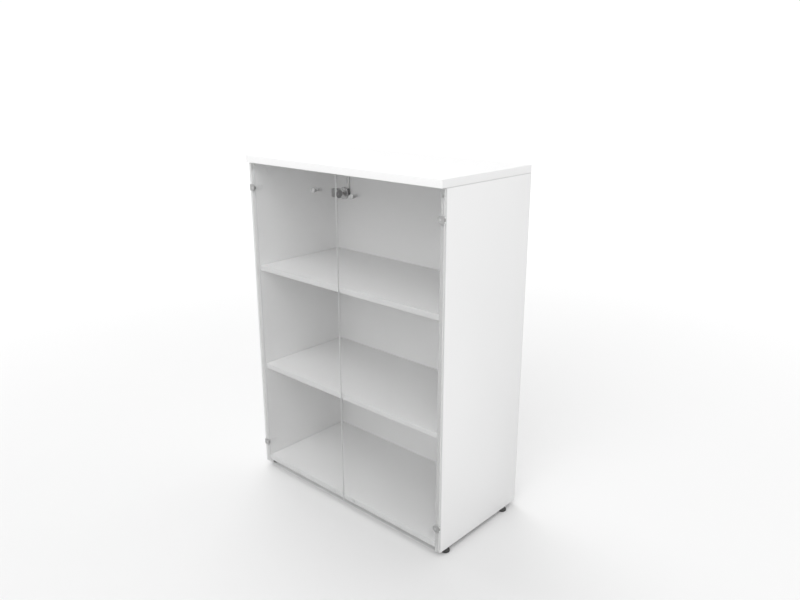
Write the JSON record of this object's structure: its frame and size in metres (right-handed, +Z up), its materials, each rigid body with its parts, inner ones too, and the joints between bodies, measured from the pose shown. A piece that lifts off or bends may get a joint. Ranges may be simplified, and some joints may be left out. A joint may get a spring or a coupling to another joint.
{
  "type": "glass-door office cabinet",
  "caption": "Low white office cabinet: overlay glass doors on side hinges, shelves inside, round knobs, a cam lock with key and levelling glides.",
  "frame": {"origin": "on the floor under the middle of the bounding box, key included", "axes": "+Z up, +Y towards the back, +X to the right seen from the front"},
  "size_m": [0.81, 0.419, 1.1],
  "materials": {
    "board": "white melamine-faced chipboard, fine satin pearl, 2 mm edging",
    "back_board": "white melamine-faced board, satin",
    "dowel_wood": "fluted beech",
    "zinc": "die-cast zinc, satin",
    "pin_metal": "nickel-plated",
    "glass": "toughened clear glass with polished edges",
    "foot_plastic": "moulded black plastic",
    "hinge_chrome": "satin chrome",
    "knob_chrome": "satin chrome",
    "lock_chrome": "polished chrome",
    "white_steel": "white powder-coated steel",
    "white_plastic": "moulded white plastic",
    "steel": "zinc-plated steel",
    "gasket": "clear soft plastic",
    "key_steel": "nickel silver",
    "key_plastic": "moulded grey plastic"
  },
  "bodies": {
    "carcass": {"back_panel": "back_board", "bottom_panel": "board", "cam_bolts": "zinc", "cam_cover_caps": "white_plastic", "cam_fittings": "zinc", "door_bumpers": "gasket", "foot_sleeves": "zinc", "left_hinge_pins": "steel", "left_leaf_screws": "white_steel", "left_side_panel": "board", "lower_left_hinge_leaf": "white_steel", "lower_right_hinge_leaf": "white_steel", "lower_shelf": "board", "lower_shelf_pins": "pin_metal", "right_hinge_pins": "steel", "right_leaf_screws": "white_steel", "right_side_panel": "board", "top_panel": "board", "upper_left_hinge_leaf": "white_steel", "upper_right_hinge_leaf": "white_steel", "upper_shelf": "board", "upper_shelf_pins": "pin_metal", "wooden_dowels": "dowel_wood"},
    "left_door": {"upper_left_hinge_cap": "hinge_chrome", "upper_left_hinge_tongue": "hinge_chrome", "lower_left_hinge_cap": "hinge_chrome", "lower_left_hinge_tongue": "hinge_chrome", "left_clamp_screws": "steel", "left_hinge_gaskets": "gasket", "left_glass_door": "glass", "left_knob": "knob_chrome", "left_knob_screw": "steel", "left_knob_gaskets": "gasket", "lock_keeper": "zinc", "keeper_pad": "gasket"},
    "right_door": {"upper_right_hinge_cap": "hinge_chrome", "upper_right_hinge_tongue": "hinge_chrome", "lower_right_hinge_cap": "hinge_chrome", "lower_right_hinge_tongue": "hinge_chrome", "right_clamp_screws": "steel", "right_hinge_gaskets": "gasket", "right_glass_door": "glass", "right_knob": "knob_chrome", "right_knob_screw": "steel", "right_knob_gaskets": "gasket", "lock_housing": "lock_chrome", "lock_nut": "lock_chrome", "lock_gaskets": "gasket"},
    "lock_cylinder": {"lock_plug": "lock_chrome", "lock_cam": "steel", "cam_screw": "steel"},
    "key": {"key_blade": "key_steel", "key_head": "key_plastic"},
    "front_left_glide": {"front_left_foot": "foot_plastic"},
    "front_right_glide": {"front_right_foot": "foot_plastic"},
    "rear_left_glide": {"rear_left_foot": "foot_plastic"},
    "rear_right_glide": {"rear_right_foot": "foot_plastic"}
  },
  "joints": [
    {"name": "left_door_swing", "type": "hinge", "parent": "carcass", "child": "left_door", "pos_m": [-0.3977, -0.17425, 0.5], "axis": [0, 0, 1], "range_deg": [-100, 0]},
    {"name": "right_door_swing", "type": "hinge", "parent": "carcass", "child": "right_door", "pos_m": [0.3977, -0.17425, 0.5], "axis": [0, 0, 1], "range_deg": [0, 100]},
    {"name": "lock_turn", "type": "hinge", "parent": "right_door", "child": "lock_cylinder", "pos_m": [0.036, -0.1785, 1.026], "axis": [0, -1, 0], "range_deg": [0, 90]},
    {"name": "key_pull", "type": "slide", "parent": "lock_cylinder", "child": "key", "axis": [0, -1, 0], "range_m": [0, 0.03]},
    {"name": "front_left_glide_turn", "type": "hinge", "parent": "carcass", "child": "front_left_glide", "pos_m": [-0.391, -0.1375, 0], "axis": [0, 0, 1], "range_deg": [-720, 720]},
    {"name": "front_right_glide_turn", "type": "hinge", "parent": "carcass", "child": "front_right_glide", "pos_m": [0.391, -0.1375, 0], "axis": [0, 0, 1], "range_deg": [-720, 720]},
    {"name": "rear_left_glide_turn", "type": "hinge", "parent": "carcass", "child": "rear_left_glide", "pos_m": [-0.391, 0.1515, 0], "axis": [0, 0, 1], "range_deg": [-720, 720]},
    {"name": "rear_right_glide_turn", "type": "hinge", "parent": "carcass", "child": "rear_right_glide", "pos_m": [0.391, 0.1515, 0], "axis": [0, 0, 1], "range_deg": [-720, 720]}
  ]
}
